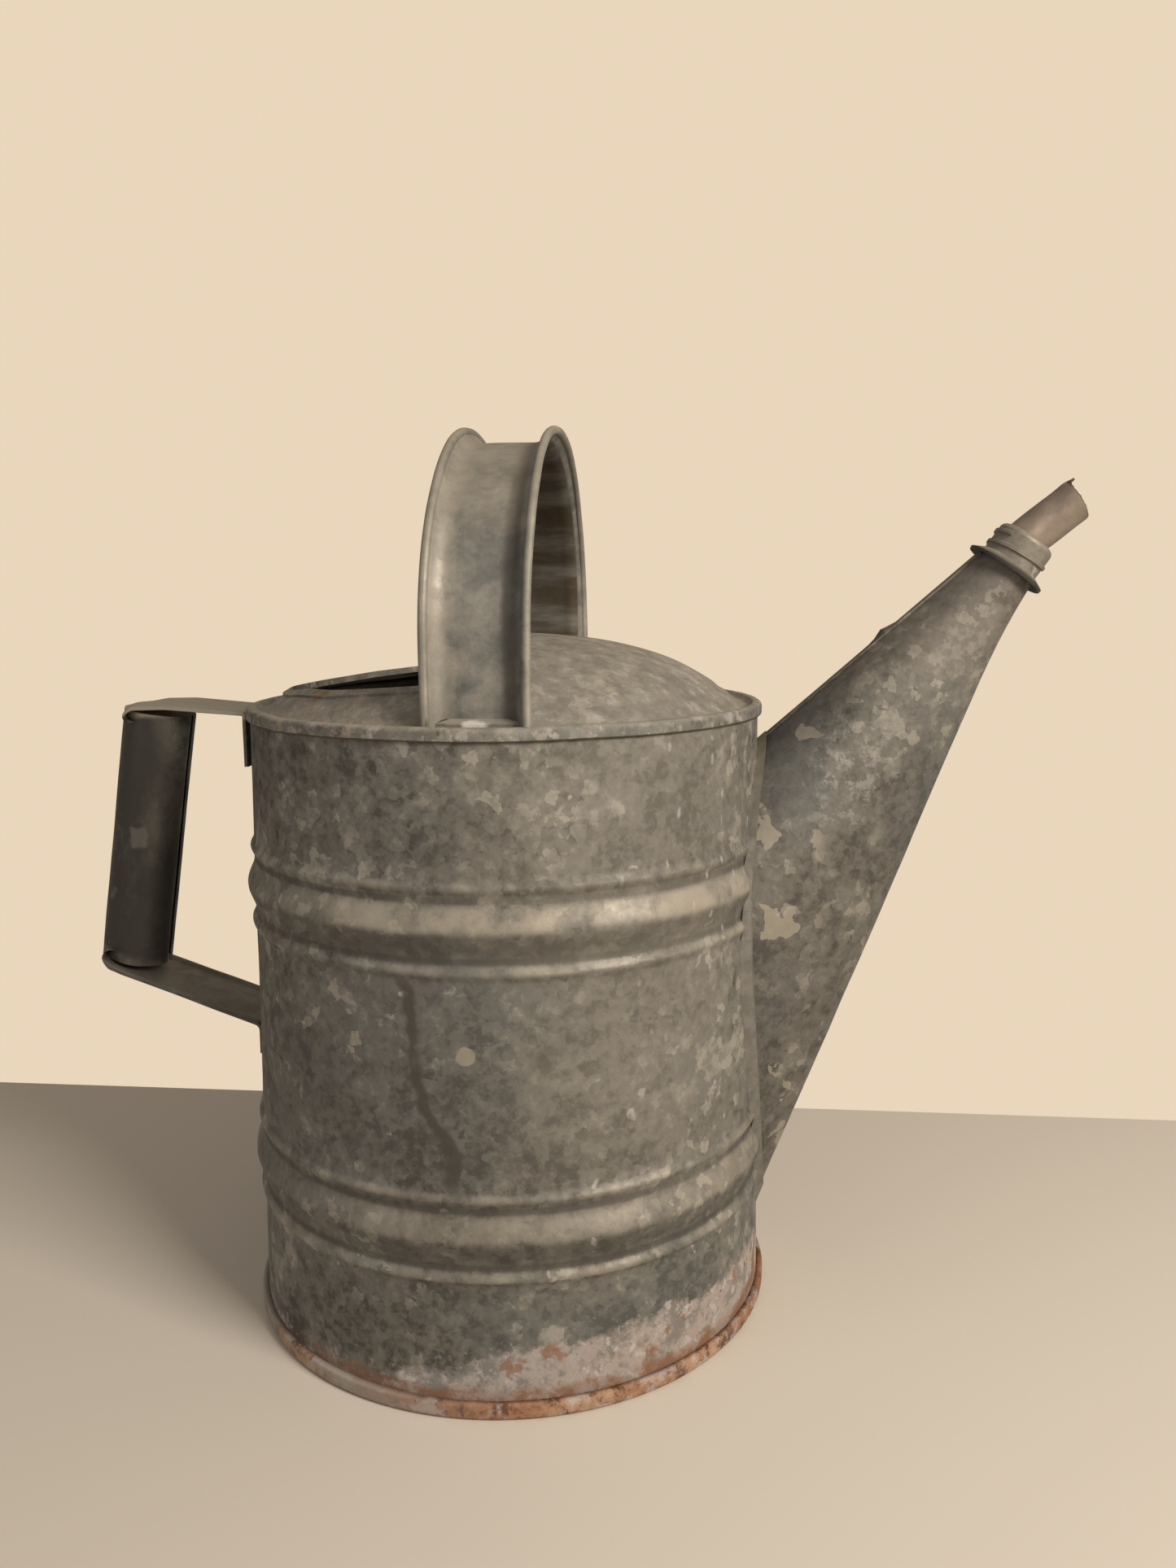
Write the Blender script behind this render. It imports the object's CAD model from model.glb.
import math

import bmesh
import bpy
from bpy.props import FloatProperty, FloatVectorProperty, PointerProperty
from mathutils import Matrix, Vector, noise


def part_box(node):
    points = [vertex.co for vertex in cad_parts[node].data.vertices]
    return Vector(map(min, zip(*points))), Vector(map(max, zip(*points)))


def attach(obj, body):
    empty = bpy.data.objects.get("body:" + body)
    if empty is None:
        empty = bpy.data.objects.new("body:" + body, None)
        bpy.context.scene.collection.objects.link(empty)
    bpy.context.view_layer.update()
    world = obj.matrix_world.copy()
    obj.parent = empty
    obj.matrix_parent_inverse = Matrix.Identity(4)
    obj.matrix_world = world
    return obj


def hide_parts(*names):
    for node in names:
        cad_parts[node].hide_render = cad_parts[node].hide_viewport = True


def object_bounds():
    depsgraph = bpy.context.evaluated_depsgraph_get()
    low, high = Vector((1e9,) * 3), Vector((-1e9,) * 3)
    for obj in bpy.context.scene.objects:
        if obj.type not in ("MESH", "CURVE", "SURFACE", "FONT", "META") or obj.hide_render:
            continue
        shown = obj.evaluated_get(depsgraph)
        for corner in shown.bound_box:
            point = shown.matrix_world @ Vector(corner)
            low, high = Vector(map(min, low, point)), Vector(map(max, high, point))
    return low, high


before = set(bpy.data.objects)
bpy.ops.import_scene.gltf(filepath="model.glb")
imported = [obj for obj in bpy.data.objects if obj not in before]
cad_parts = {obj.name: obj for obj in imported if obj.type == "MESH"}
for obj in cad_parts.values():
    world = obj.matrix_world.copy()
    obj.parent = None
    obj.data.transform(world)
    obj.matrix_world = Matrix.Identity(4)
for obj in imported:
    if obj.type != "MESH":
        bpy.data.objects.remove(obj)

bl_info = {
    "name": "Galvanised watering can",
    "version": (1, 0, 0),
    "blender": (4, 5, 0),
    "location": "3D View > Sidebar > Watering can",
    "description": "Dresses the packed watering can with worn sheet metal and sets up its stage",
    "category": "Object",
}

CAD_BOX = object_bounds()
COVER_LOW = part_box("domed_cover")[0]
NOZZLE_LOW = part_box("nozzle_cap")[0]
SPOUT_TIP = Vector((0.2076, 0, 0.3161))
SPOUT_WAY = Vector((0.5693, 0, 0.8221))

# Blender seeds its noise vectors from the clock unless it is told not to
noise.seed_set(12)


def colour(label, value, note):
    return FloatVectorProperty(
        name=label, description=note, subtype="COLOR", size=3, min=0, max=1, default=value)


def length(label, value, note):
    return FloatProperty(name=label, description=note, unit="LENGTH", precision=5, default=value)


class CanFinish(bpy.types.PropertyGroup):
    """Colours and scales of the can's finishes."""
    zinc_dark: colour("Dark zinc", (0.062, 0.056, 0.048), "Dulled crystals and stains")
    zinc_mid: colour("Zinc", (0.150, 0.142, 0.125), "Most of the old zinc")
    zinc_light: colour("Light zinc", (0.300, 0.282, 0.243), "Crystals that still catch the light")
    zinc_cool: colour("Cool zinc", (0.118, 0.128, 0.126), "Blue-green cast in the zinc")
    dust: colour("Dust", (0.378, 0.338, 0.270), "Dried dust on what faces up")
    oxide: colour("Zinc oxide", (0.400, 0.375, 0.360), "White bloom above the foot")
    oxide_pink: colour("Stained oxide", (0.400, 0.310, 0.250), "Bloom stained by rust")
    chalk: colour("Chalk", (0.600, 0.580, 0.560), "White specks in the bloom")
    flux: colour("Flux", (0.620, 0.600, 0.560), "Dried flux on the solder")
    rust: colour("Rust", (0.235, 0.112, 0.055), "Fresh orange-brown rust")
    rust_dark: colour("Dark rust", (0.085, 0.038, 0.022), "Old rust in the pits")
    rust_pale: colour("Pale rust", (0.400, 0.270, 0.180), "Rust under dried soil on the foot")
    handle_dark: colour("Handle", (0.041, 0.039, 0.033), "Hand-darkened zinc of the rear grip")
    inside: colour("Inside", (0.050, 0.034, 0.018), "Brown staining inside the can")
    solder: colour("Solder", (0.200, 0.190, 0.172), "Dull tin-lead solder")
    stub: colour("Outlet steel", (0.190, 0.155, 0.125), "Bare, warm steel of the outlet stub")
    rubber: colour("Washer", (0.022, 0.020, 0.019), "Hard old rubber")
    crystal: length("Crystal size", 0.0115, "Width of the zinc's larger crystals")
    crystal_small: length("Small crystals", 0.0046, "Width of the zinc's smaller crystals")


class CanWear(bpy.types.PropertyGroup):
    """How far the sheet has moved out of true."""
    sway: length("Sway", 0.0007, "Slow waves over the whole can")
    sway_reach: length("Sway reach", 0.075, "Distance over which the sway changes")
    ripple: length("Ripple", 0.00016, "Small ripples in the sheet")
    ripple_reach: length("Ripple reach", 0.017, "Distance over which the ripple changes")
    longest: length("Longest edge", 0.006, "Longest mesh edge on a worn sheet")


class CanHandle(bpy.types.PropertyGroup):
    """Sheet of the rear handle, which is one folded piece."""
    gauge: length("Gauge", 0.001, "Thickness of the sheet")
    grip_r: length("Grip radius", 0.0151, "Radius of the curled grip")
    grip_length: length("Grip length", 0.1155, "Length of the curled grip")
    width: length("Strap width", 0.037, "Width of the strap at the body")
    overlap: length("Overlap", 0.016, "How far each tongue lies along the grip")
    bend_r: length("Bend", 0.0062, "Radius of the bends between the grip and its tongues")
    curled: length("Curled", 0.006, "How far before the bend a tongue starts to flatten")
    flattened: length("Flattened", 0.0095, "How far beyond the bend a tongue is flat")
    hem: length("Hem width", 0.0034, "Width of the folded edges")
    hem_rise: length("Hem rise", 0.0010, "Extra thickness of the folded edges")
    lean: FloatProperty(
        name="Lean", description="Lean of the grip away from the can",
        subtype="ANGLE", default=math.radians(8.9))
    closing: FloatProperty(
        name="Closing", description="Share of a full turn that the grip is curled",
        min=0.5, max=0.99, default=0.975)


class CanStub(bpy.types.PropertyGroup):
    """The torn outlet of the nozzle."""
    radius: length("Radius", 0.0086, "Outer radius of the outlet")
    gauge: length("Gauge", 0.0008, "Thickness of its wall")
    rise: length("Rise", 0.0154, "Height of the cap's top above the tip of the spout")
    reach: length("Reach", 0.0232, "Mean length beyond the cap")
    slant: length("Slant", 0.0012, "How much further one side reaches")
    tongue: length("Tongue", 0.0034, "Length of the curled tongue on the torn end")
    ragged: length("Ragged edge", 0.0006, "Depth of the small tears")
    turn: FloatProperty(
        name="Turn", description="Angle from the cap's axis to the outlet's",
        subtype="ANGLE", default=math.radians(16))


class CanStage(bpy.types.PropertyGroup):
    """Camera, floor and lights."""
    eye: FloatVectorProperty(
        name="Camera", description="Where the camera stands", subtype="XYZ", unit="LENGTH",
        default=(0.0840, -0.5290, 0.3117))
    bearing: FloatProperty(
        name="Bearing", description="Camera's turn about the vertical, from looking along +Y",
        subtype="ANGLE", default=math.radians(5.273))
    dip: FloatProperty(
        name="Dip", description="How far the camera looks down", subtype="ANGLE",
        default=math.radians(9.252))
    roll: FloatProperty(
        name="Roll", description="Camera's turn about its own line of sight", subtype="ANGLE",
        default=math.radians(-0.317))
    lens: FloatProperty(
        name="Lens", description="Focal length on a sensor whose longer side is 36 mm",
        unit="CAMERA", default=28.40)
    key_power: FloatProperty(name="Key", description="Power of the main light", unit="POWER", default=20.0)
    fill_power: FloatProperty(name="Fill", description="Power of the fill light", unit="POWER", default=2.5)
    ambient: FloatProperty(name="Ambient", description="Strength of the surroundings", default=0.36)
    floor: colour("Floor", (0.62, 0.57, 0.50), "Plain pale floor")
    floor_width: length("Floor width", 3.0, "Width of the floor")
    floor_depth: length("Floor depth", 2.2, "Depth of the floor")
    floor_back: length("Floor edge", 0.18, "How far the floor goes on behind the can")
    air: colour("Surroundings", (0.86, 0.74, 0.60), "Light that comes from all round")
    glow: FloatProperty(name="Glow", description="Brightness of the backdrop", default=0.95)
    backdrop: colour("Backdrop", (0.86, 0.71, 0.53), "Plain pale backdrop")


# ---- shader expressions --------------------------------------------------------------------

class Value:
    """A node socket that takes part in Python expressions. Vectors stay vectors."""

    def __init__(self, tree, socket):
        self.tree = tree
        self.socket = socket

    def operate(self, operation, *terms):
        vector = any(isinstance(t, Value) and t.socket.type == "VECTOR" for t in terms)
        made = self.tree.nodes.new("ShaderNodeVectorMath" if vector else "ShaderNodeMath")
        made.operation = operation
        for socket, term in zip(made.inputs, terms):
            if isinstance(term, Value):
                self.tree.links.new(term.socket, socket)
            else:
                socket.default_value = [term] * 3 if vector and not hasattr(term, "__len__") else term
        return Value(self.tree, made.outputs[0])

    def __add__(self, other):
        return self.operate("ADD", self, other)

    def __radd__(self, other):
        return self.operate("ADD", other, self)

    def __sub__(self, other):
        return self.operate("SUBTRACT", self, other)

    def __rsub__(self, other):
        return self.operate("SUBTRACT", other, self)

    def __mul__(self, other):
        return self.operate("MULTIPLY", self, other)

    def __rmul__(self, other):
        return self.operate("MULTIPLY", other, self)

    def __truediv__(self, other):
        return self.operate("DIVIDE", self, other)

    def __rtruediv__(self, other):
        return self.operate("DIVIDE", other, self)

    def __pow__(self, other):
        return self.operate("POWER", self, other)

    def __neg__(self):
        return self.operate("MULTIPLY", self, -1.0)

    def __abs__(self):
        return self.operate("ABSOLUTE", self)


class Finish:
    """One material, and the nodes that its maker asks for."""

    def __init__(self, name):
        self.material = bpy.data.materials.new(name)
        self.material.use_nodes = True
        self.tree = self.material.node_tree
        self.tree.nodes.clear()
        self.output = self.tree.nodes.new("ShaderNodeOutputMaterial")
        self.place = self.node("ShaderNodeTexCoord", out="Object")

    def node(self, kind, settings=None, inputs=None, out=0):
        """A new node's output; settings are set first, then the sockets' values or links."""
        made = self.tree.nodes.new(kind)
        for key, value in (settings or {}).items():
            setattr(made, key, value)
        for key, value in (inputs or {}).items():
            socket = made.inputs[key]
            if isinstance(value, Value):
                self.tree.links.new(value.socket, socket)
            else:
                socket.default_value = value
        return Value(self.tree, made.outputs[out])

    def step(self, value, low, high):
        """0 below low, 1 above high, smooth between them."""
        return self.node(
            "ShaderNodeMapRange", {"interpolation_type": "SMOOTHSTEP"},
            {"Value": value, "From Min": low, "From Max": high})

    def band(self, value, centre, half, soft):
        """1 within half of centre, fading to 0 over soft."""
        return 1 - self.step(abs(value - centre), half, half + soft)

    def mix(self, share, first, second):
        """A colour between two colours."""
        ends = {
            key: value if isinstance(value, Value) else (*value[:3], 1.0)
            for key, value in ((6, first), (7, second))}
        return self.node("ShaderNodeMix", {"data_type": "RGBA"}, {0: share, **ends}, out=2)

    def cloud(self, size, detail=4.0, roughness=0.55, at=None, seed=0.0):
        """Noise from 0 to 1 about 0.5, whose lumps are about size across."""
        spot = (self.place if at is None else at) + (seed, seed * 0.7, -seed)
        return self.node(
            "ShaderNodeTexNoise", {"noise_dimensions": "3D"},
            {"Vector": spot, "Scale": 0.5 / size, "Detail": detail, "Roughness": roughness})

    def ragged(self, size, amount, seed=0.0):
        """The place on the object, pushed about so that edges drawn on it are ragged."""
        push = self.node(
            "ShaderNodeTexNoise", {"noise_dimensions": "3D"},
            {"Vector": self.place + seed, "Scale": 0.5 / size, "Detail": 3.0}, out="Color")
        away = self.node("ShaderNodeVectorMath", {"operation": "SUBTRACT"}, {0: push, 1: (0.5,) * 3})
        return self.place + away * amount

    def cells(self, size, at, out="Color"):
        """Crystals of one size: a random colour for each, or the distance from its middle."""
        return self.node("ShaderNodeTexVoronoi", None, {"Vector": at, "Scale": 1 / size}, out=out)

    def parts(self, vector):
        """The three numbers of a vector."""
        split = self.tree.nodes.new("ShaderNodeSeparateXYZ")
        self.tree.links.new(vector.socket, split.inputs[0])
        return [Value(self.tree, socket) for socket in split.outputs]

    def chance(self, size, at):
        """A random number from 0 to 1 that is the same all over one crystal."""
        return self.parts(self.cells(size, at))[0]

    def specks(self, size, share, at=None):
        """Small round dots on a share of the crystals of that size."""
        spot = self.place if at is None else at
        near = self.cells(size, spot, out="Distance")
        lucky = self.step(self.chance(size, spot), 1 - share, 1 - share * 0.9)
        return lucky * (1 - self.step(near, 0.12, 0.24))

    def up(self):
        """How far the surface faces up, from -1 to 1."""
        return self.parts(self.node("ShaderNodeNewGeometry", out="Normal"))[2]

    def bearing(self):
        """Angle about the can's axis, 0 at the spout, and height."""
        x, y, z = self.parts(self.place)
        return self.node("ShaderNodeMath", {"operation": "ARCTAN2"}, {0: y, 1: x}), z

    def done(self, base, roughness, metallic, relief, depth, **sockets):
        """Ends the material: relief is a height from 0 to 1, worth depth metres."""
        normal = self.node(
            "ShaderNodeBump", None, {"Strength": 1.0, "Distance": depth, "Height": relief})
        shader = self.node(
            "ShaderNodeBsdfPrincipled", None,
            {"Base Color": base, "Roughness": roughness, "Metallic": metallic, "Normal": normal,
             **sockets})
        self.tree.links.new(shader.socket, self.output.inputs[0])
        return self.material


# ---- finishes ------------------------------------------------------------------------------

def zinc(f, look, seed, contrast=1.0, streak=0.10):
    """Colour, roughness and relief of old dulled zinc: crystals, mottling, scratches and specks."""
    torn = f.ragged(0.003, 0.0105, seed)
    large = f.chance(look.crystal, torn)
    small = f.chance(look.crystal_small, f.ragged(0.0015, 0.0055, seed + 3))
    mottle = f.cloud(0.035, 5.0, 0.62, seed=seed + 1)
    grain = f.cloud(0.0016, 3.0, 0.6, seed=seed)
    drawn = f.cloud(0.004, 4.0, 0.6, at=f.place * (1.0, 1.0, 0.10), seed=seed + 5)
    tiny = f.chance(look.crystal_small * 0.52, f.ragged(0.0010, 0.0030, seed + 6))
    speckle = f.cloud(0.006, 5.0, 0.65, seed=seed + 7)
    pitting = f.cloud(0.0022, 4.0, 0.65, seed=seed + 8)
    tone = (0.40 + (large - 0.5) * (0.10 * contrast) + (small - 0.5) * (0.26 * contrast)
            + (tiny - 0.5) * 0.18 + (speckle - 0.5) * 0.75 + (pitting - 0.5) * 0.55
            + (mottle - 0.5) * 1.15 + (grain - 0.5) * 0.30 + (drawn - 0.5) * streak)
    bright = f.step(large, 0.86, 0.88) * f.step(mottle, 0.46, 0.56)
    pale = f.step(small, 0.88, 0.90) * f.step(mottle, 0.44, 0.60)
    tone = tone + bright * 0.15 * contrast + pale * 0.26 * contrast
    base = f.mix(f.step(tone, 0.05, 0.50), look.zinc_dark, look.zinc_mid)
    base = f.mix(f.step(tone, 0.42, 1.0), base, look.zinc_light)
    cool = f.step(f.cloud(0.05, 3.0, seed=seed + 9), 0.48, 0.66) * 0.34
    base = f.mix(cool * (1 - f.step(tone, 0.5, 0.8)), base, look.zinc_cool)
    dots = f.specks(0.0075, 0.05, torn)
    base = f.mix(dots * 0.75, base, look.oxide)
    rough = 0.60 - (large - 0.5) * 0.16 + (grain - 0.5) * 0.25 + dots * 0.2
    relief = grain * 0.45 + small * 0.15 + large * 0.15 + mottle * 0.25 + dots * 0.3
    return base, rough, relief


def dusted(f, look, base, low=0.25, high=0.95, most=0.75, size=0.02):
    """Dust on what faces up, thin and broken where it is steep."""
    lie = f.up() + (f.cloud(size, 5.0, 0.65, seed=2.3) - 0.5) * 0.9
    return f.mix(f.step(lie, low, high) * most, base, look.dust)


def wall_finish(look):
    """The body: zinc with stained rolls, a long drip, splash marks, and corrosion above the foot."""
    f = Finish("galvanised_wall")
    base, rough, relief = zinc(f, look, 0.0, 1.0, 0.16)
    angle, height = f.bearing()
    broken = f.cloud(0.012, 5.0, 0.6, seed=4.1)
    # dust on the upper half of each roll and bead, dirt in the grooves under them
    lee = 0.35 + f.step(angle, -2.5, -1.7) * 0.65
    for centre, dusty in ((0.1890, 0.76), (0.0713, 0.36)):
        lit = f.band(height, centre + 0.0045, 0.0030, 0.0035)
        base = f.mix(lit * f.step(broken, 0.26, 0.56) * lee * dusty, base, look.dust)
        shade = f.band(height, centre - 0.0060, 0.0035, 0.0035)
        base = f.mix(shade * f.step(broken, 0.25, 0.6) * 0.50, base, look.zinc_dark)
        for side in (0.0112, -0.0112):
            groove = f.band(height, centre + side, 0.0006, 0.0014)
            base = f.mix(groove * f.step(broken, 0.22, 0.5) * 0.70, base, look.zinc_dark)
        for side in (0.0160, -0.0150):
            edge = f.band(height, centre + side, 0.0008, 0.0018)
            base = f.mix(edge * f.step(broken, 0.36, 0.62) * 0.40, base, look.dust)
    # dark drip down the front between the rolls
    line = -1.822 + (0.172 - height) * 2.55 + (f.cloud(0.016, 3.0, seed=8.0) - 0.5) * 0.20
    away = abs(angle - line) * 0.11
    drip = (1 - f.step(away, 0.0012, 0.0036)) * f.band(height, 0.130, 0.036, 0.009)
    drip = drip * f.step(f.cloud(0.012, 3.0, seed=6.0), 0.26, 0.44)
    base = f.mix(drip * 0.85, base, look.zinc_dark)
    # paler towards the spout
    worn = f.band(angle, -0.95, 0.20, 0.50) * f.step(height, 0.06, 0.12)
    base = f.mix(worn * 0.22, base, look.zinc_light)
    # one light crystal flake
    along = (angle + 1.570) * 0.112
    up = (height - 0.1425) * 1.05
    off = (along * along + up * up) ** 0.5 + (f.cloud(0.003, 2.0, seed=1.0) - 0.5) * 0.0035
    base = f.mix((1 - f.step(off, 0.0036, 0.0041)) * 0.55, base, look.dust)
    # pale splash marks and fine runs towards the spout
    wet = f.band(angle, -0.60, 0.26, 0.30)
    runs = f.specks(0.0052, 0.34, f.ragged(0.003, 0.004, 3.3) * (1.0, 1.0, 0.45))
    base = f.mix(runs * wet * f.step(height, 0.10, 0.19) * 0.62, base, look.oxide)
    near = f.step(angle, -0.75, -0.1) * (1 - f.step(angle, 0.5, 0.9))
    drawn = f.step(f.cloud(0.0022, 4.0, 0.6, at=f.place * (1.0, 1.0, 0.16), seed=7.0), 0.52, 0.66)
    base = f.mix(drawn * near * 0.34, base, look.zinc_light)
    # corrosion above the foot, highest on the side of the spout
    side = f.node("ShaderNodeMath", {"operation": "COSINE"}, {0: angle + 0.75})
    reach = 0.010 + f.step(side, 0.30, 0.98) * 0.021
    rag = f.cloud(0.008, 8.0, 0.72, seed=5.5)
    lift = reach + (rag - 0.5) * 0.034 - height
    bloom = f.step(lift, -0.0015, 0.0035)
    white = f.mix(f.step(angle, -1.75, -1.00) * 0.55, look.oxide, look.oxide_pink)
    patch = f.cloud(0.006, 6.0, 0.7, seed=2.2)
    white = f.mix(f.step(patch, 0.44, 0.58) * 0.70, white, look.zinc_mid)
    base = f.mix(bloom * f.step(patch, 0.22, 0.46) * 0.88, base, white)
    chalk = f.step(f.cloud(0.0032, 6.0, 0.72, seed=6.1), 0.54, 0.62)
    base = f.mix(bloom * chalk * 0.45, base, look.chalk)
    salt = f.step(f.cloud(0.0022, 5.0, 0.7, seed=6.6), 0.56, 0.64) * f.step(lift, -0.014, 0.004)
    base = f.mix(salt * 0.60, base, look.oxide)
    spots = f.step(f.cloud(0.0070, 5.0, 0.66, seed=9.1), 0.57, 0.63) * bloom
    base = f.mix(spots * 0.70, base, look.rust)
    pits = f.step(f.cloud(0.0045, 4.0, 0.6, seed=3.9), 0.66, 0.72) * bloom
    base = f.mix(pits * 0.8, base, look.rust_dark)
    foot = (1 - f.step(height + (rag - 0.5) * 0.012, 0.0095, 0.0135)) * f.step(side, -0.2, 0.5)
    base = f.mix(foot * f.step(patch, 0.30, 0.55) * 0.80, base, look.rust)
    # brown inside
    x, y, _ = f.parts(f.place)
    nx, ny, _ = f.parts(f.node("ShaderNodeNewGeometry", out="Normal"))
    inner = 1 - f.step(x * nx + y * ny, -0.004, 0.004)
    base = f.mix(inner * 0.80, base, look.inside)
    rough = rough + bloom * 0.25
    relief = relief + bloom * patch * 0.8
    return f.done(base, rough, 0.35, relief, 0.00022)


def cover_finish(look):
    """The dusty cover, with a rust spot and crusted edge on its rear half."""
    f = Finish("galvanised_cover")
    base, rough, relief = zinc(f, look, 11.0, 0.8)
    base = dusted(f, look, base, 0.15, 1.15, 0.66, 0.018)
    x, y, _ = f.parts(f.place)
    blot = f.cloud(0.014, 5.0, 0.62, seed=15.0)
    base = f.mix(f.step(blot, 0.52, 0.66) * 0.42, base, look.zinc_light)
    fleck = f.cloud(0.0035, 5.0, 0.68, seed=16.0)
    base = f.mix(f.step(fleck, 0.50, 0.62) * 0.50, base, look.zinc_mid)
    base = f.mix((1 - f.step(fleck, 0.36, 0.46)) * 0.55, base, look.oxide)
    base = f.mix(f.step(f.cloud(0.03, 4.0, seed=18.0), 0.54, 0.70) * 0.45, base, look.zinc_mid)
    rear = (1 - f.step(x, -0.050, -0.010)) * (1 - f.step(y, -0.045, -0.005))
    crust = f.step(f.cloud(0.0035, 5.0, 0.7, seed=13.0), 0.50, 0.66) * rear
    base = f.mix(crust * 0.55, base, look.oxide_pink)
    rag = (f.cloud(0.004, 4.0, 0.65, seed=12.0) - 0.5) * 0.016
    dx, dy = x + 0.0630, (y + 0.0640) * 0.8
    spot = 1 - f.step((dx * dx + dy * dy) ** 0.5 + rag, 0.0016, 0.0050)
    base = f.mix(spot * 0.60, base, look.rust)
    base = f.mix(spot * f.step(fleck, 0.45, 0.6) * 0.5, base, look.rust_dark)
    base = f.mix((1 - f.step(f.up(), -0.25, -0.05)) * 0.8, base, look.inside)
    return f.done(base, rough + 0.1, 0.25, relief + crust * 0.8 + spot * 0.4, 0.00022)


def foot_finish(look):
    """The rusty rolled foot and the bottom."""
    f = Finish("rusty_foot")
    broad = f.cloud(0.030, 4.0, 0.55, seed=21.0)
    fine = f.cloud(0.0034, 7.0, 0.74, seed=22.0)
    base = f.mix(f.step(broad * 0.55 + fine * 0.5, 0.34, 0.54), look.rust_pale, look.rust)
    base = f.mix(f.step(fine, 0.51, 0.60) * 0.90, base, look.rust_dark)
    scale = f.step(f.cloud(0.0050, 6.0, 0.7, seed=27.0), 0.50, 0.60)
    base = f.mix(scale * 0.55, base, look.oxide)
    base = f.mix(f.step(f.cloud(0.006, 5.0, 0.7, seed=25.0), 0.60, 0.70) * 0.45, base, look.rust_pale)
    angle = f.bearing()[0]
    grey = f.node("ShaderNodeMath", {"operation": "COSINE"}, {0: angle + 2.9})
    base = f.mix(f.step(grey, 0.1, 0.8) * f.step(broad, 0.30, 0.52) * 0.8, base, look.zinc_light)
    return f.done(base, 0.82 + (fine - 0.5) * 0.2, 0.0, fine, 0.00045)


def arch_finish(look):
    """The arch: blue-grey zinc outside, tan dust down its rear side, dark brown inside."""
    f = Finish("galvanised_arch")
    base, rough, relief = zinc(f, look, 31.0, 0.55, 0.05)
    x, y, z = f.parts(f.place)
    base = f.mix(0.50, base, look.zinc_cool)
    base = f.mix(f.step(f.cloud(0.007, 5.0, 0.62, seed=33.0), 0.36, 0.68) * 0.75, base, look.zinc_light)
    rag = (f.cloud(0.010, 5.0, 0.6, seed=34.0) - 0.5) * 0.026
    tan = 1 - f.step(x + rag, -0.0050, -0.0010)
    base = f.mix(tan * 0.34, base, look.dust)
    channel = f.band(x, 0.0172, 0.0012, 0.0030)
    base = f.mix(channel * 0.75, base, look.zinc_dark)
    bead = f.step(x, 0.0225, 0.0240)
    base = f.mix(bead * 0.34, base, look.dust)
    base = dusted(f, look, base, 0.35, 1.1, 0.65, 0.012)
    # the inner face looks towards the middle of the arch
    _, ny, nz = f.parts(f.node("ShaderNodeNewGeometry", out="Normal"))
    inwards = y * ny + (z - 0.290) * nz
    inner = (1 - f.step(inwards, -0.012, 0.004)) * f.band(x, 0.0058, 0.0150, 0.0010)
    drawn = f.cloud(0.010, 5.0, 0.62, at=f.place * (0.35, 1.0, 2.2), seed=36.0)
    stain = f.mix(f.step(drawn, 0.40, 0.72), look.inside, look.zinc_mid)
    base = f.mix(inner * 0.93, base, stain)
    return f.done(base, rough, 0.35, relief, 0.00016)


def solder_finish(look):
    """Dull solder with a white, dried flux patch."""
    f = Finish("solder")
    lump = f.cloud(0.003, 4.0, 0.6, seed=41.0)
    base = f.mix(f.step(lump, 0.35, 0.65), look.zinc_mid, look.solder)
    base = dusted(f, look, base, 0.1, 0.9, 0.75, 0.01)
    x, y, _ = f.parts(f.place)
    dx, dy = (x - 0.0045) * 0.75, y + 0.1045
    ring = (dx * dx + dy * dy) ** 0.5 + (f.cloud(0.0016, 3.0, seed=43.0) - 0.5) * 0.003
    base = f.mix((1 - f.step(ring, 0.0034, 0.0050)) * 0.92, base, look.flux)
    return f.done(base, 0.55 + (lump - 0.5) * 0.3, 0.45, lump, 0.0004)


def handle_finish(look):
    """Hand-darkened zinc of the grip; its straps stay dusty and lighter."""
    f = Finish("dark_handle")
    base, rough, relief = zinc(f, look, 51.0, 0.8)
    x, y, z = f.parts(f.place)
    grip = (1 - f.step(x, -0.1530, -0.1440)) * f.step(z + (x + 0.150) * 0.35, 0.1365, 0.1420)
    smear = f.cloud(0.012, 5.0, 0.62, at=f.place * (1.0, 1.0, 0.5), seed=52.0)
    dark = f.mix(f.step(smear, 0.50, 0.78) * 0.60, look.handle_dark, look.zinc_mid)
    dark = f.mix(f.specks(0.006, 0.06) * 0.5, dark, look.zinc_light)
    patch_x, patch_z = abs(x + 0.1625), abs(z - 0.2020)
    rag = (f.cloud(0.004, 5.0, 0.65, seed=53.0) - 0.5) * 0.0075
    patch = (1 - f.step(patch_x + rag, 0.0026, 0.0040)) * (1 - f.step(patch_z - rag, 0.0042, 0.0056))
    dark = f.mix(patch * (1 - f.step(y, -0.008, -0.004)) * 0.7, dark, look.zinc_mid)
    run_rag = f.step(f.cloud(0.003, 5.0, 0.7, seed=54.0), 0.52, 0.66)
    run = f.band(x + 0.1740 + (z - 0.2) * -0.157, 0.0, 0.0022, 0.0020) * f.band(z, 0.190, 0.016, 0.012)
    dark = f.mix(run * run_rag * 0.6, dark, look.zinc_mid)
    top = f.step(z, 0.2535, 0.2565)
    base = f.mix((1 - top) * 0.45, base, look.zinc_dark)
    base = f.mix(top * 0.80, base, look.dust)
    base = f.mix(grip * (1 - top) * 0.96, base, dark)
    base = dusted(f, look, base, 0.45, 1.0, 0.55, 0.012)
    return f.done(base, rough - 0.10, 0.45, relief + smear * 0.4, 0.00018)


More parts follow.
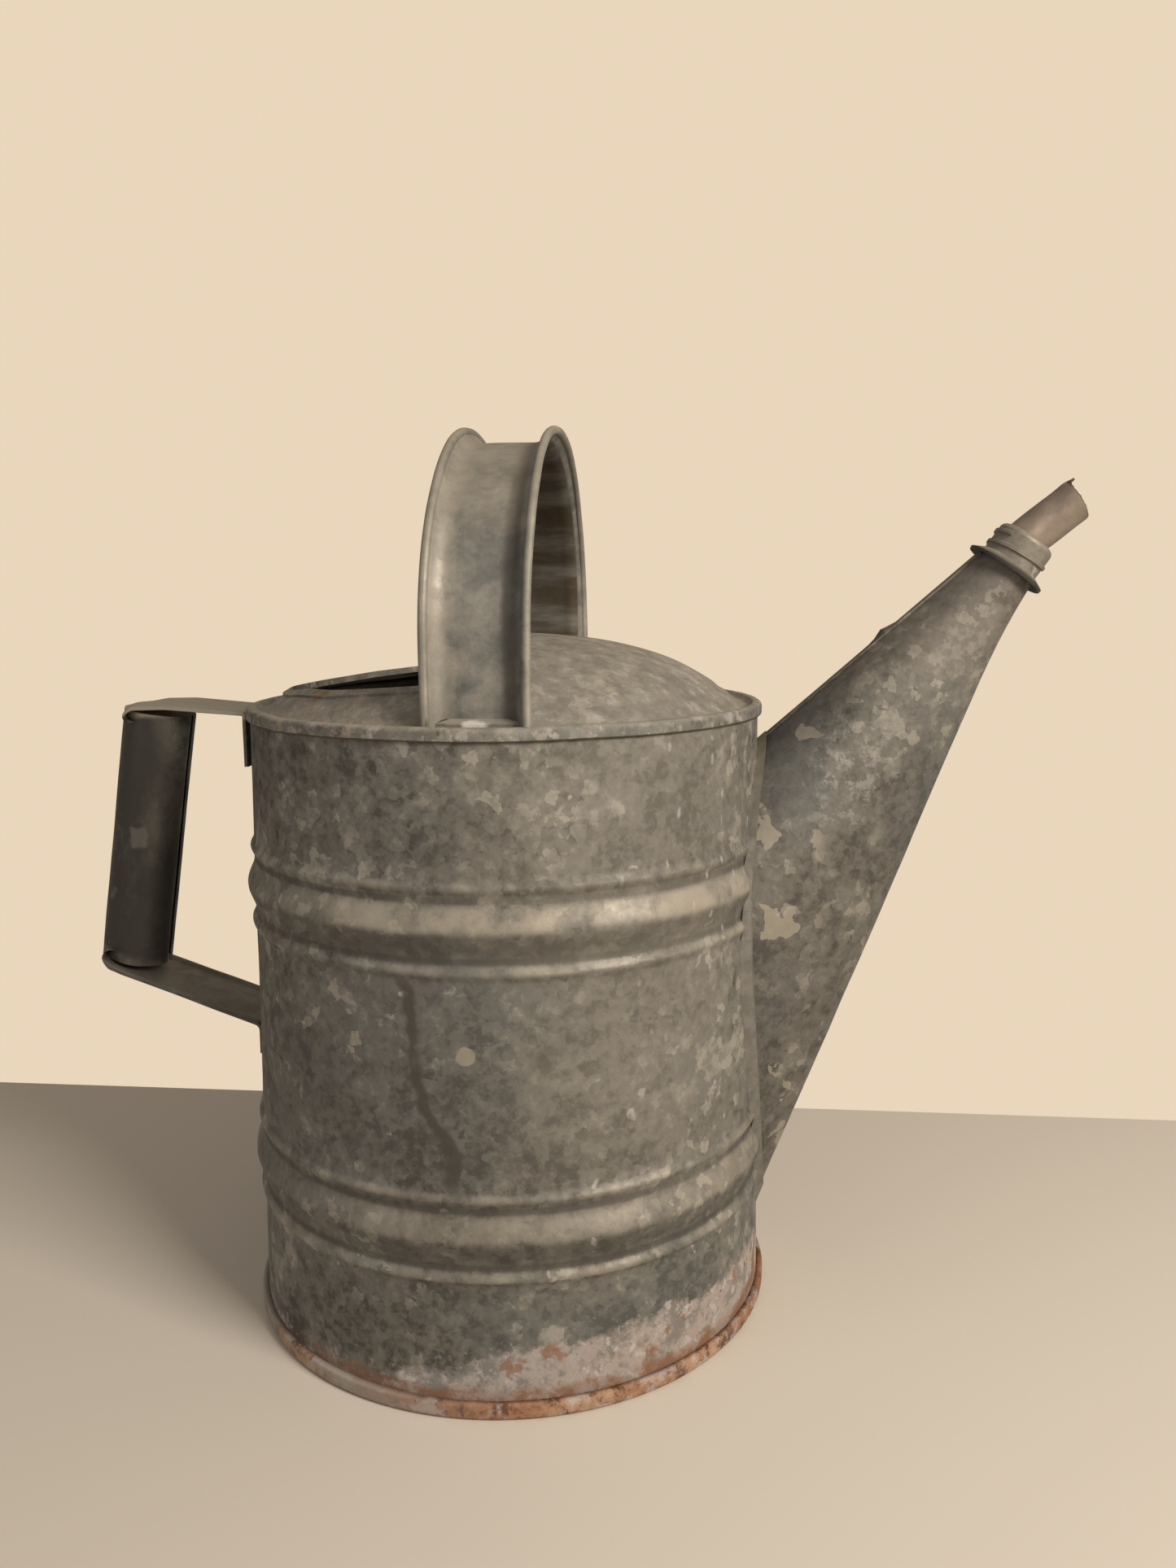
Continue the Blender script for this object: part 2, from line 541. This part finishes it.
def spout_finish(look):
    """The spout: large crystals, a pale crusted patch, and dust along its upper side."""
    f = Finish("galvanised_spout")
    base, rough, relief = zinc(f, look, 61.0, 0.95)
    base = f.mix(0.24, base, look.zinc_dark)
    x, _, z = f.parts(f.place)
    rag = (f.cloud(0.010, 5.0, 0.62, seed=62.0) - 0.5) * 0.045
    dx, dz = x - 0.1440, z - 0.2370
    patch = 1 - f.step((dx * dx + dz * dz) ** 0.5 + rag, 0.012, 0.024)
    crust = f.step(f.cloud(0.0032, 5.0, 0.7, seed=63.0), 0.48, 0.62)
    base = f.mix(patch * crust * 0.34, base, look.oxide)
    cool = f.band(x, 0.122, 0.006, 0.014) * f.step(z, 0.20, 0.23)
    base = f.mix(cool * 0.45, base, look.zinc_cool)
    flakes = f.step(f.chance(0.008, f.ragged(0.003, 0.008, 6.0)), 0.90, 0.91)
    flakes = flakes * (1 - f.step(x, 0.126, 0.140))
    base = f.mix(flakes * 0.55, base, look.dust)
    warm = f.step(z, 0.262, 0.290)
    base = f.mix(warm * 0.22, base, look.stub)
    base = dusted(f, look, base, 0.55, 1.2, 0.45, 0.02)
    return f.done(base, rough, 0.35, relief + crust * patch * 0.5, 0.00020)


def cap_finish(look):
    """The screw cap: dull zinc on its threads, near black under and on the skirt."""
    f = Finish("cap_steel")
    base, rough, relief = zinc(f, look, 71.0, 0.5)
    base = f.mix(0.32, base, look.dust)
    along = f.node(
        "ShaderNodeVectorMath", {"operation": "DOT_PRODUCT"},
        {0: f.place, 1: SPOUT_WAY}, out="Value")
    skirt = 1 - f.step(along, 0.3788, 0.3803)
    dirt = f.cloud(0.004, 4.0, 0.6, seed=73.0)
    base = f.mix(skirt * f.step(dirt, 0.15, 0.40) * 0.92, base, look.handle_dark)
    base = dusted(f, look, base, 0.5, 1.1, 0.30, 0.008)
    return f.done(base, rough - 0.05, 0.45, relief + dirt * 0.3, 0.00018)


def stub_finish(look):
    """Bare warm steel, black along its torn edge."""
    f = Finish("stub_steel")
    mottle = f.cloud(0.007, 5.0, 0.6, seed=81.0)
    grain = f.cloud(0.0012, 3.0, 0.6, seed=82.0)
    base = f.mix(f.step(mottle, 0.30, 0.75) * 0.5, look.stub, look.oxide_pink)
    base = f.mix(f.step(mottle, 0.58, 0.72) * 0.25, base, look.zinc_mid)
    edge = f.node("ShaderNodeAttribute", {"attribute_name": "torn_edge"}, out="Fac")
    burnt = f.step(edge + (f.cloud(0.002, 4.0, 0.6, seed=83.0) - 0.5) * 0.5, 0.60, 0.85)
    base = f.mix(burnt * 0.92, base, look.rust_dark)
    inner = f.node("ShaderNodeAttribute", {"attribute_name": "inner_face"}, out="Fac")
    base = f.mix(f.step(inner, 0.4, 0.6) * 0.85, base, look.rust_dark)
    return f.done(base, 0.50 + (grain - 0.5) * 0.25, 0.35, mottle * 0.5 + grain * 0.5, 0.00020)


def neck_finish(look):
    """Tinned ferrule, worn grey on the crests of its thread."""
    f = Finish("tinned_neck")
    grain = f.cloud(0.0025, 4.0, 0.6, seed=91.0)
    base = f.mix(f.step(grain, 0.35, 0.65), look.zinc_mid, look.zinc_light)
    base = f.mix(f.step(f.cloud(0.005, 4.0, seed=92.0), 0.55, 0.7) * 0.6, base, look.zinc_dark)
    return f.done(base, 0.42 + (grain - 0.5) * 0.2, 0.7, grain, 0.0001)


def washer_finish(look):
    """Hard, cracked rubber of the sealing washer."""
    f = Finish("washer_rubber")
    grain = f.cloud(0.0012, 4.0, 0.6, seed=95.0)
    bloom = f.step(f.cloud(0.003, 4.0, seed=96.0), 0.5, 0.75) * 0.3
    base = f.mix(bloom, look.rubber, look.dust)
    return f.done(base, 0.75 + (grain - 0.5) * 0.2, 0.0, grain, 0.0001)


# ---- worn sheet ----------------------------------------------------------------------------

def settled(point, wear):
    """Where a point of the can has moved to with age. Nothing moves at the foot or near the nozzle."""
    slow = noise.noise_vector(point / wear.sway_reach)
    quick = noise.noise_vector(point / wear.ripple_reach + Vector((7.0, 3.0, 5.0)))
    grounded = min(max((point.z - 0.002) / 0.02, 0.0), 1.0)
    clear = min(max(((point - NOZZLE_LOW).length - 0.045) / 0.06, 0.0), 1.0)
    return point + (slow * wear.sway + quick * wear.ripple) * grounded * clear


def split_long_edges(mesh, longest):
    """Halves edges until none is longer than longest."""
    for _ in range(8):
        long = [edge for edge in mesh.edges if edge.calc_length() > longest]
        if not long:
            break
        bmesh.ops.subdivide_edges(mesh, edges=long, cuts=1)
        bmesh.ops.triangulate(mesh, faces=[face for face in mesh.faces if len(face.verts) > 4])


def object_of(mesh, name, material, sharp=math.radians(32)):
    """A smooth-shaded object from a bmesh."""
    data = bpy.data.meshes.new(name)
    mesh.to_mesh(data)
    mesh.free()
    data.shade_smooth()
    data.set_sharp_from_angle(angle=sharp)
    data.materials.append(material)
    made = bpy.data.objects.new(name, data)
    bpy.context.scene.collection.objects.link(made)
    return made


def worn_sheet(node, material, wear, knocks=()):
    """A settled and dented copy of a CAD node, which stands in its place.

    Each knock is a centre, a reach and a push in metres."""
    mesh = bmesh.new()
    mesh.from_mesh(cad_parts[node].data)
    for name in list(mesh.loops.layers.float_vector.keys()):
        mesh.loops.layers.float_vector.remove(mesh.loops.layers.float_vector[name])
    bmesh.ops.remove_doubles(mesh, verts=mesh.verts, dist=2e-6)
    split_long_edges(mesh, wear.longest)
    for vert in mesh.verts:
        place = vert.co.copy()
        moved = settled(place, wear)
        for centre, reach, push in knocks:
            share = (place - Vector(centre)).length / reach
            if share < 1:
                moved += Vector(push) * (1 - share * share) ** 2
        vert.co = moved
    made = object_of(mesh, "worn_" + node, material)
    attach(made, "root")
    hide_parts(node)
    return made


def dress(node, material):
    """Gives a CAD node its material as it is."""
    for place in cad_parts[node].material_slots:
        place.material = material


# ---- rear handle ---------------------------------------------------------------------------

def rounded_path(corners, spacing):
    """Places and directions, about spacing apart, along a bent line of (point, radius) corners."""
    places = [corners[0][0]]
    for before, (point, radius), after in zip(corners, corners[1:], corners[2:]):
        back = (before[0] - point).normalized()
        ahead = (after[0] - point).normalized()
        half = back.angle(ahead) / 2
        reach = radius / math.tan(half)
        centre = point + (back + ahead).normalized() * (radius / math.sin(half))
        first = point + back * reach - centre
        last = point + ahead * reach - centre
        turn = first.angle(last)
        for i in range(9):
            share = i / 8
            arm = (first * math.sin((1 - share) * turn) + last * math.sin(share * turn)) / math.sin(turn)
            places.append(centre + arm)
    places.append(corners[-1][0])
    steps = [(b - a).length for a, b in zip(places, places[1:])]
    total = sum(steps)
    count = int(total / spacing)
    found, run, i = [], 0.0, 0
    for k in range(count + 1):
        want = total * k / count
        while i < len(steps) - 1 and run + steps[i] < want:
            run += steps[i]
            i += 1
        along = (places[i + 1] - places[i]).normalized()
        found.append((want, places[i] + along * (want - run)))
    result = []
    for k, (want, place) in enumerate(found):
        before = found[max(k - 1, 0)][1]
        after = found[min(k + 1, count)][1]
        result.append((want, place, (after - before).normalized()))
    return result


def smooth(value, low, high):
    share = min(max((value - low) / (high - low), 0.0), 1.0)
    return share * share * (3 - 2 * share)


def sheet_section(place, along, width, curl, handle):
    """Closed section across the handle's sheet, from flat with folded edges to round as curl goes to 1."""
    away = Vector((0, 1, 0)).cross(along).normalized()
    radius = handle.grip_r / max(curl, 1e-3)
    count = 44
    outer, inner = [], []
    for i in range(count + 1):
        share = 2 * i / count - 1
        angle = share * width / (2 * radius)
        to_edge = (1 - abs(share)) * width / 2
        fold = 1 - smooth(to_edge, handle.hem * 0.82, handle.hem)
        thick = handle.gauge + handle.hem_rise * fold * (1 - curl)
        rounding = 0.35 * handle.gauge * (1 - smooth(to_edge, 0, 0.8 * handle.gauge))
        for side, depth in ((outer, rounding), (inner, thick - rounding)):
            r = radius - depth
            sideways = Vector((0, r * math.sin(angle), 0))
            side.append(place + sideways - away * (radius - r * math.cos(angle)))
    return outer + inner[::-1]


def skin(mesh, sections):
    """A closed skin through sections of equal count."""
    rings = [[mesh.verts.new(point) for point in section] for section in sections]
    for first, second in zip(rings, rings[1:]):
        for i in range(len(first)):
            j = (i + 1) % len(first)
            mesh.faces.new((first[i], first[j], second[j], second[i]))
    mesh.faces.new(rings[0][::-1])
    mesh.faces.new(rings[-1])


def tongue_sections(corners, bend, towards_grip, handle):
    """Sections of a tongue: round where it lies on the grip, flat a little way beyond the bend."""
    path = rounded_path(corners, 0.0012)
    turned = min(path, key=lambda step: (step[1] - bend).length)[0]
    sections = []
    for along, place, heading in path:
        beyond = turned - along if towards_grip else along - turned
        curl = 1 - smooth(beyond, -handle.curled, handle.flattened)
        sections.append(sheet_section(place, heading, handle.width, curl, handle))
    return sections


def make_handle(handle, wear, material):
    """The rear handle: one sheet, folded over at the edges, curled into a grip and soldered on."""
    top = Vector((-0.1555, 0, 0.2565))
    down = Vector((-math.sin(handle.lean), 0, -math.cos(handle.lean)))
    out = Vector((-math.cos(handle.lean), 0, math.sin(handle.lean)))
    length, overlap = handle.grip_length, handle.overlap
    rim_x = COVER_LOW.x - 0.0006
    low_x = -0.1111
    face = out * (handle.grip_r + handle.gauge * 0.05)
    sunk = out * (handle.grip_r - handle.gauge * 0.25)
    corner_top = top + face - down * 0.0012
    corner_low = top + face + down * length
    upper = [
        (Vector((rim_x, 0, 0.2345)), 0.0),
        (Vector((rim_x, 0, 0.2580)), 0.0025),
        (Vector((-0.1460, 0, 0.2606)), 0.030),
        (corner_top, handle.bend_r),
        (top + sunk + down * overlap, 0.0),
    ]
    lower = [
        (top + sunk + down * (length - overlap), 0.0),
        (corner_low, handle.bend_r),
        (Vector((-0.1500, 0, 0.1315)), 0.020),
        (Vector((low_x, 0, 0.1175)), 0.0025),
        (Vector((low_x, 0, 0.1050)), 0.0),
    ]
    mesh = bmesh.new()
    skin(mesh, tongue_sections(upper, corner_top, True, handle))
    skin(mesh, tongue_sections(lower, corner_low, False, handle))
    steps = 70
    outer = out * handle.grip_r
    first, last = top + outer, top + outer + down * (length - 0.0010)
    around = 2 * math.pi * handle.grip_r * handle.closing
    places = [first.lerp(last, i / steps) for i in range(steps + 1)]
    skin(mesh, [sheet_section(place, down, around, 1.0, handle) for place in places])
    bmesh.ops.triangulate(mesh, faces=[face for face in mesh.faces if len(face.verts) > 4])
    dimple = Vector((-0.1790, -0.0110, 0.1455))
    for vert in mesh.verts:
        vert.co = settled(vert.co, wear)
        share = (vert.co - dimple).length / 0.012
        if share < 1:
            vert.co += Vector((0.0006, 0.0012, 0.0006)) * (1 - share * share) ** 2
    bmesh.ops.recalc_face_normals(mesh, faces=mesh.faces)
    made = object_of(mesh, "rear_handle", material, math.radians(50))
    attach(made, "root")
    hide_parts("rear_grip", "rear_strap_upper", "rear_strap_lower")
    return made


# ---- torn outlet stub ----------------------------------------------------------------------

def make_stub(stub, material):
    """The outlet: a slightly dented tube with a torn end and a curled tongue."""
    spout_way = SPOUT_WAY
    across = Vector((spout_way.z, 0, -spout_way.x))
    way = spout_way * math.cos(stub.turn) + across * math.sin(stub.turn)
    side = across * math.cos(stub.turn) - spout_way * math.sin(stub.turn)
    root = SPOUT_TIP + spout_way * stub.rise
    level = Vector((0, 1, 0))
    around, rows = 96, 40
    mesh = bmesh.new()
    edge_layer = mesh.verts.layers.float.new("torn_edge")
    inner_layer = mesh.verts.layers.float.new("inner_face")

    def end_of(angle):
        tongue = math.exp(-(((angle - math.pi * 0.94 + math.pi) % (2 * math.pi) - math.pi) / 0.50) ** 2)
        tears = noise.noise(Vector((math.cos(angle) * 4.0, math.sin(angle) * 4.0, 2.0)))
        fine = noise.noise(Vector((math.cos(angle) * 11.0, math.sin(angle) * 11.0, 5.0)))
        end = stub.reach - stub.slant * math.cos(angle) + (tears + 0.6 * fine) * stub.ragged
        return end + tongue * stub.tongue, tongue

    def point(angle, share, depth):
        end, tongue = end_of(angle)
        start = (math.cos(angle) * stub.radius * math.sin(stub.turn) - 0.0008) / math.cos(stub.turn)
        along = start + (end - start) * share
        dent = 0.00045 * noise.noise(Vector((math.cos(angle) * 1.6, math.sin(angle) * 1.6, along * 90)))
        mouth = smooth(share, 0.72, 1.0)
        radius = stub.radius - depth + dent + 0.0005 * mouth - 0.0012 * tongue * mouth ** 3
        squash = 1 - 0.05 * mouth
        return (root + way * along + side * (math.cos(angle) * radius * squash)
                + level * (math.sin(angle) * radius))

    grids = []
    for inner, depth in ((0.0, 0.0), (1.0, stub.gauge)):
        grid = []
        for row in range(rows + 1):
            share = row / rows
            line = []
            for k in range(around):
                vert = mesh.verts.new(point(2 * math.pi * k / around, share, depth))
                tongue = end_of(2 * math.pi * k / around)[1]
                torn = smooth(share, 0.90, 1.0) * 0.75 + tongue * smooth(share, 0.7, 1.0)
                vert[edge_layer] = min(torn, 1.0)
                vert[inner_layer] = inner
                line.append(vert)
            grid.append(line)
        grids.append(grid)
    outer, inner = grids
    for grid in grids:
        for low, high in zip(grid, grid[1:]):
            for k in range(around):
                j = (k + 1) % around
                mesh.faces.new((low[k], low[j], high[j], high[k]))
    for a, b in ((outer[0], inner[0]), (outer[-1], inner[-1])):
        for k in range(around):
            j = (k + 1) % around
            mesh.faces.new((a[k], a[j], b[j], b[k]))
    bmesh.ops.recalc_face_normals(mesh, faces=mesh.faces)
    made = object_of(mesh, "torn_outlet", material, math.radians(50))
    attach(made, "nozzle")
    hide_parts("nozzle_stub")
    return made


# ---- stage ---------------------------------------------------------------------------------

def area_light(name, place, target, size, power, tint):
    data = bpy.data.lights.new(name, "AREA")
    data.size = size
    data.energy = power
    data.color = tint
    lamp = bpy.data.objects.new(name, data)
    lamp.location = place
    lamp.rotation_euler = (Vector(target) - Vector(place)).to_track_quat("-Z", "Y").to_euler()
    bpy.context.scene.collection.objects.link(lamp)


def make_floor(stage):
    side, back = stage.floor_width / 2, stage.floor_back
    front = back - stage.floor_depth
    mesh = bmesh.new()
    corners = [(-side, front, 0), (side, front, 0), (side, back, 0), (-side, back, 0)]
    mesh.faces.new([mesh.verts.new(corner) for corner in corners])
    floor = object_of(mesh, "floor", plain_finish("floor_paint", stage.floor))
    floor.location.z = CAD_BOX[0][2]


def plain_finish(name, tone):
    f = Finish(name)
    shader = f.node("ShaderNodeBsdfPrincipled", None, {"Base Color": (*tone, 1.0), "Roughness": 0.8})
    f.tree.links.new(shader.socket, f.output.inputs[0])
    return f.material


def make_camera(stage):
    data = bpy.data.cameras.new("camera")
    data.sensor_fit = "AUTO"
    data.sensor_width = 36.0
    data.lens = stage.lens
    data.clip_start = 0.01
    camera = bpy.data.objects.new("camera", data)
    turn = Matrix.Rotation(stage.bearing, 4, "Z")
    tilt = Matrix.Rotation(math.pi / 2 - stage.dip, 4, "X")
    roll = Matrix.Rotation(stage.roll, 4, "Z")
    camera.matrix_world = Matrix.Translation(stage.eye) @ turn @ tilt @ roll
    bpy.context.scene.collection.objects.link(camera)
    bpy.context.scene.camera = camera


# ---- operators -----------------------------------------------------------------------------

class CAN_OT_stage(bpy.types.Operator):
    """Make the camera, the floor and the lights"""
    bl_idname = "can.stage"
    bl_label = "Stage"

    def execute(self, context):
        stage = context.scene.can_stage
        make_camera(stage)
        make_floor(stage)
        world = bpy.data.worlds.new("surroundings")
        world.use_nodes = True
        air = world.node_tree.nodes["Background"]
        air.inputs["Color"].default_value = (*stage.air, 1.0)
        air.inputs["Strength"].default_value = stage.ambient
        nodes, links = world.node_tree.nodes, world.node_tree.links
        seen = nodes.new("ShaderNodeBackground")
        seen.inputs["Color"].default_value = (*stage.backdrop, 1.0)
        seen.inputs["Strength"].default_value = stage.glow
        choice = nodes.new("ShaderNodeMixShader")
        ray = nodes.new("ShaderNodeLightPath")
        links.new(ray.outputs["Is Camera Ray"], choice.inputs["Fac"])
        links.new(air.outputs[0], choice.inputs[1])
        links.new(seen.outputs[0], choice.inputs[2])
        links.new(choice.outputs[0], nodes["World Output"].inputs["Surface"])
        context.scene.world = world
        context.scene.view_settings.view_transform = "Standard"
        middle = (0, 0, 0.18)
        area_light("key", (0.90, -0.75, 0.85), middle, 0.5, stage.key_power, (1.0, 0.91, 0.80))
        area_light("fill", (-0.9, -1.0, 0.7), middle, 1.0, stage.fill_power, (0.90, 0.93, 1.0))
        return {"FINISHED"}


class CAN_OT_body(bpy.types.Operator):
    """Dress the wall, its seam, the bottom, the cover and the edge of the mouth"""
    bl_idname = "can.body"
    bl_label = "Body"

    def execute(self, context):
        look, wear = context.scene.can_finish, context.scene.can_wear
        wall = wall_finish(look)
        cover = cover_finish(look)
        worn_sheet("body_wall", wall, wear)
        worn_sheet("body_lock_seam", wall, wear)
        worn_sheet("bottom_disc", foot_finish(look), wear)
        knocks = [
            ((0.060, -0.050, 0.284), 0.030, (0, 0, -0.0010)),
            ((-0.075, -0.060, 0.270), 0.022, (0, 0, 0.0008)),
            ((0.045, 0.030, 0.288), 0.040, (0, 0, -0.0012)),
        ]
        worn_sheet("domed_cover", cover, wear, knocks)
        worn_sheet("mouth_hem", cover, wear, knocks)
        return {"FINISHED"}


class CAN_OT_arch(bpy.types.Operator):
    """Dress the carrying arch, its wired edges and the solder at its feet"""
    bl_idname = "can.arch"
    bl_label = "Carrying arch"

    def execute(self, context):
        look, wear = context.scene.can_finish, context.scene.can_wear
        arch = arch_finish(look)
        for node in ("arch_strap", "arch_edge_wire_rear", "arch_edge_wire_front"):
            worn_sheet(node, arch, wear)
        solder = solder_finish(look)
        for node in ("arch_solder_near", "arch_solder_far"):
            worn_sheet(node, solder, wear)
        return {"FINISHED"}


class CAN_OT_handle(bpy.types.Operator):
    """Make the folded and curled rear handle"""
    bl_idname = "can.handle"
    bl_label = "Rear handle"

    def execute(self, context):
        scene = context.scene
        make_handle(scene.can_handle, scene.can_wear, handle_finish(scene.can_finish))
        return {"FINISHED"}


class CAN_OT_spout(bpy.types.Operator):
    """Dress the spout, its lapped seam, its solder and its threaded neck"""
    bl_idname = "can.spout"
    bl_label = "Spout"

    def execute(self, context):
        look, wear = context.scene.can_finish, context.scene.can_wear
        spout = spout_finish(look)
        bump = [((0.1598, 0, 0.2897), 0.0032, (-0.0013, 0, 0.0017))]
        worn_sheet("spout_cone", spout, wear, bump)
        worn_sheet("spout_lap_seam", spout, wear, bump)
        worn_sheet("spout_solder", solder_finish(look), wear)
        dress("spout_neck", neck_finish(look))
        return {"FINISHED"}


class CAN_OT_nozzle(bpy.types.Operator):
    """Dress the sealing washer and the screw cap, and make the torn outlet"""
    bl_idname = "can.nozzle"
    bl_label = "Nozzle"

    def execute(self, context):
        scene = context.scene
        dress("sealing_washer", washer_finish(scene.can_finish))
        dress("nozzle_cap", cap_finish(scene.can_finish))
        make_stub(scene.can_stub, stub_finish(scene.can_finish))
        return {"FINISHED"}


OPERATORS = (CAN_OT_stage, CAN_OT_body, CAN_OT_arch, CAN_OT_handle, CAN_OT_spout, CAN_OT_nozzle)
GROUPS = {
    "can_finish": CanFinish, "can_wear": CanWear, "can_handle": CanHandle,
    "can_stub": CanStub, "can_stage": CanStage}


class CAN_PT_panel(bpy.types.Panel):
    """Lists the watering can's operators"""
    bl_label = "Watering can"
    bl_space_type = "VIEW_3D"
    bl_region_type = "UI"
    bl_category = "Watering can"

    def draw(self, context):
        for operator in OPERATORS:
            self.layout.operator(operator.bl_idname)


def register():
    for made in (*GROUPS.values(), *OPERATORS, CAN_PT_panel):
        bpy.utils.register_class(made)
    for name, group in GROUPS.items():
        setattr(bpy.types.Scene, name, PointerProperty(type=group))


def unregister():
    for name in GROUPS:
        delattr(bpy.types.Scene, name)
    for made in reversed((*GROUPS.values(), *OPERATORS, CAN_PT_panel)):
        bpy.utils.unregister_class(made)


def main():
    register()
    bpy.ops.can.stage()
    bpy.ops.can.body()
    bpy.ops.can.arch()
    bpy.ops.can.handle()
    bpy.ops.can.spout()
    bpy.ops.can.nozzle()


if __name__ == "__main__":
    main()
